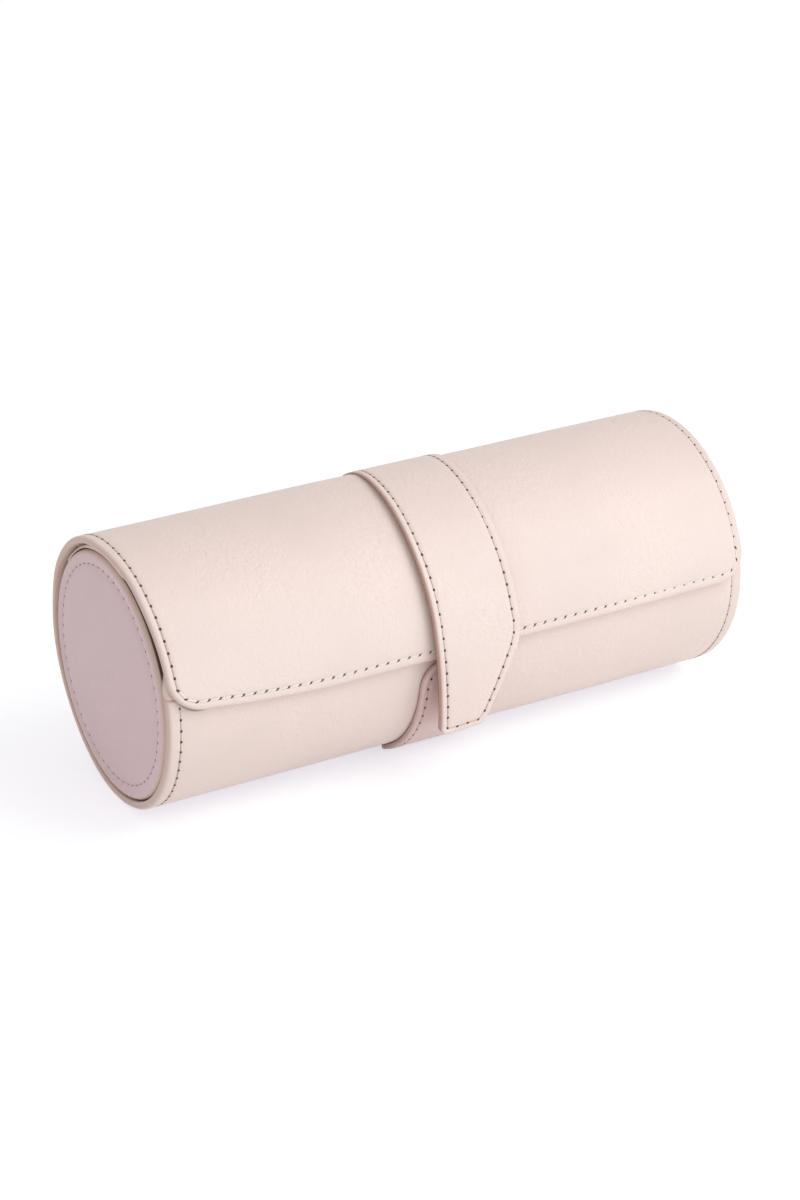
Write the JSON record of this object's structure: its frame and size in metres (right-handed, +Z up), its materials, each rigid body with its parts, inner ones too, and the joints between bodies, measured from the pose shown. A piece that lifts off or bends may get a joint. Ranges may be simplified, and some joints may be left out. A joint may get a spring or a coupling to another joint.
{
  "type": "watch roll",
  "caption": "Cylindrical leather travel case for wrist watches, with a hinged flap, a closing strap and lift-out cushions in bays.",
  "frame": {"origin": "under the middle of the trough, on the surface that the roll rests on", "axes": "+X along the roll to the end that is on the right in the picture, -Y to the front with the hanging strap tip, +Z up"},
  "size_m": [0.1916, 0.0871, 0.0822],
  "materials": {
    "blush_leather": "smooth grain, satin, stitched in pale thread",
    "panel_leather": "smooth grain, satin, padded and stitched",
    "lining_suede": "short soft nap",
    "cushion_suede": "short soft nap",
    "board": "plain",
    "foam": "open cell",
    "magnet_steel": "nickel plated"
  },
  "bodies": {
    "case": {"trough_cover": "blush_leather", "trough_board": "board", "trough_lining": "lining_suede", "hinge_strip": "lining_suede", "end_panel_left": "panel_leather", "end_panel_right": "panel_leather", "end_foam_left": "foam", "end_foam_right": "foam", "end_board_left": "board", "end_board_right": "board", "end_lining_left": "lining_suede", "end_lining_right": "lining_suede", "end_hoop_left": "blush_leather", "end_hoop_right": "blush_leather", "divider_cover_left": "lining_suede", "divider_cover_right": "lining_suede", "divider_board_left": "board", "divider_board_right": "board", "tab_leather": "blush_leather", "tab_lining": "lining_suede", "tab_magnet": "magnet_steel"},
    "flap": {"flap_cover": "blush_leather", "flap_board": "board", "flap_lining": "lining_suede", "base_leather": "blush_leather", "base_lining": "lining_suede"},
    "strap": {"strap_leather": "blush_leather", "strap_lining": "lining_suede"},
    "strap_tip": {"tip_leather": "blush_leather", "tip_lining": "lining_suede", "tip_magnet": "magnet_steel"},
    "cushion_left": {"cushion_cover_left": "cushion_suede", "cushion_foam_left": "foam"},
    "cushion_middle": {"cushion_cover_middle": "cushion_suede", "cushion_foam_middle": "foam"},
    "cushion_right": {"cushion_cover_right": "cushion_suede", "cushion_foam_right": "foam"}
  },
  "joints": [
    {"name": "flap_open", "type": "hinge", "parent": "case", "child": "flap", "pos_m": [0, 0.02958, 0.06606], "axis": [-1, 0, 0], "range_deg": [0, 150]},
    {"name": "strap_lift", "type": "hinge", "parent": "flap", "child": "strap", "pos_m": [0, 0.00554, 0.08126], "axis": [-1, 0, 0], "range_deg": [0, 75]},
    {"name": "tip_release", "type": "hinge", "parent": "strap", "child": "strap_tip", "pos_m": [0, -0.04394, 0.05188], "axis": [-1, 0, 0], "range_deg": [0, 90]},
    {"name": "cushion_left_lift", "type": "slide", "parent": "case", "child": "cushion_left", "axis": [0, -0.1736, 0.9848], "range_m": [0, 0.072]},
    {"name": "cushion_middle_lift", "type": "slide", "parent": "case", "child": "cushion_middle", "axis": [0, -0.1736, 0.9848], "range_m": [0, 0.072]},
    {"name": "cushion_right_lift", "type": "slide", "parent": "case", "child": "cushion_right", "axis": [0, -0.1736, 0.9848], "range_m": [0, 0.072]}
  ],
  "couplings": [
    {"joint": "cushion_left_lift", "follows": "flap_open", "m_per_rad": 0.027501},
    {"joint": "cushion_middle_lift", "follows": "flap_open", "m_per_rad": 0.027501},
    {"joint": "cushion_right_lift", "follows": "flap_open", "m_per_rad": 0.027501}
  ]
}
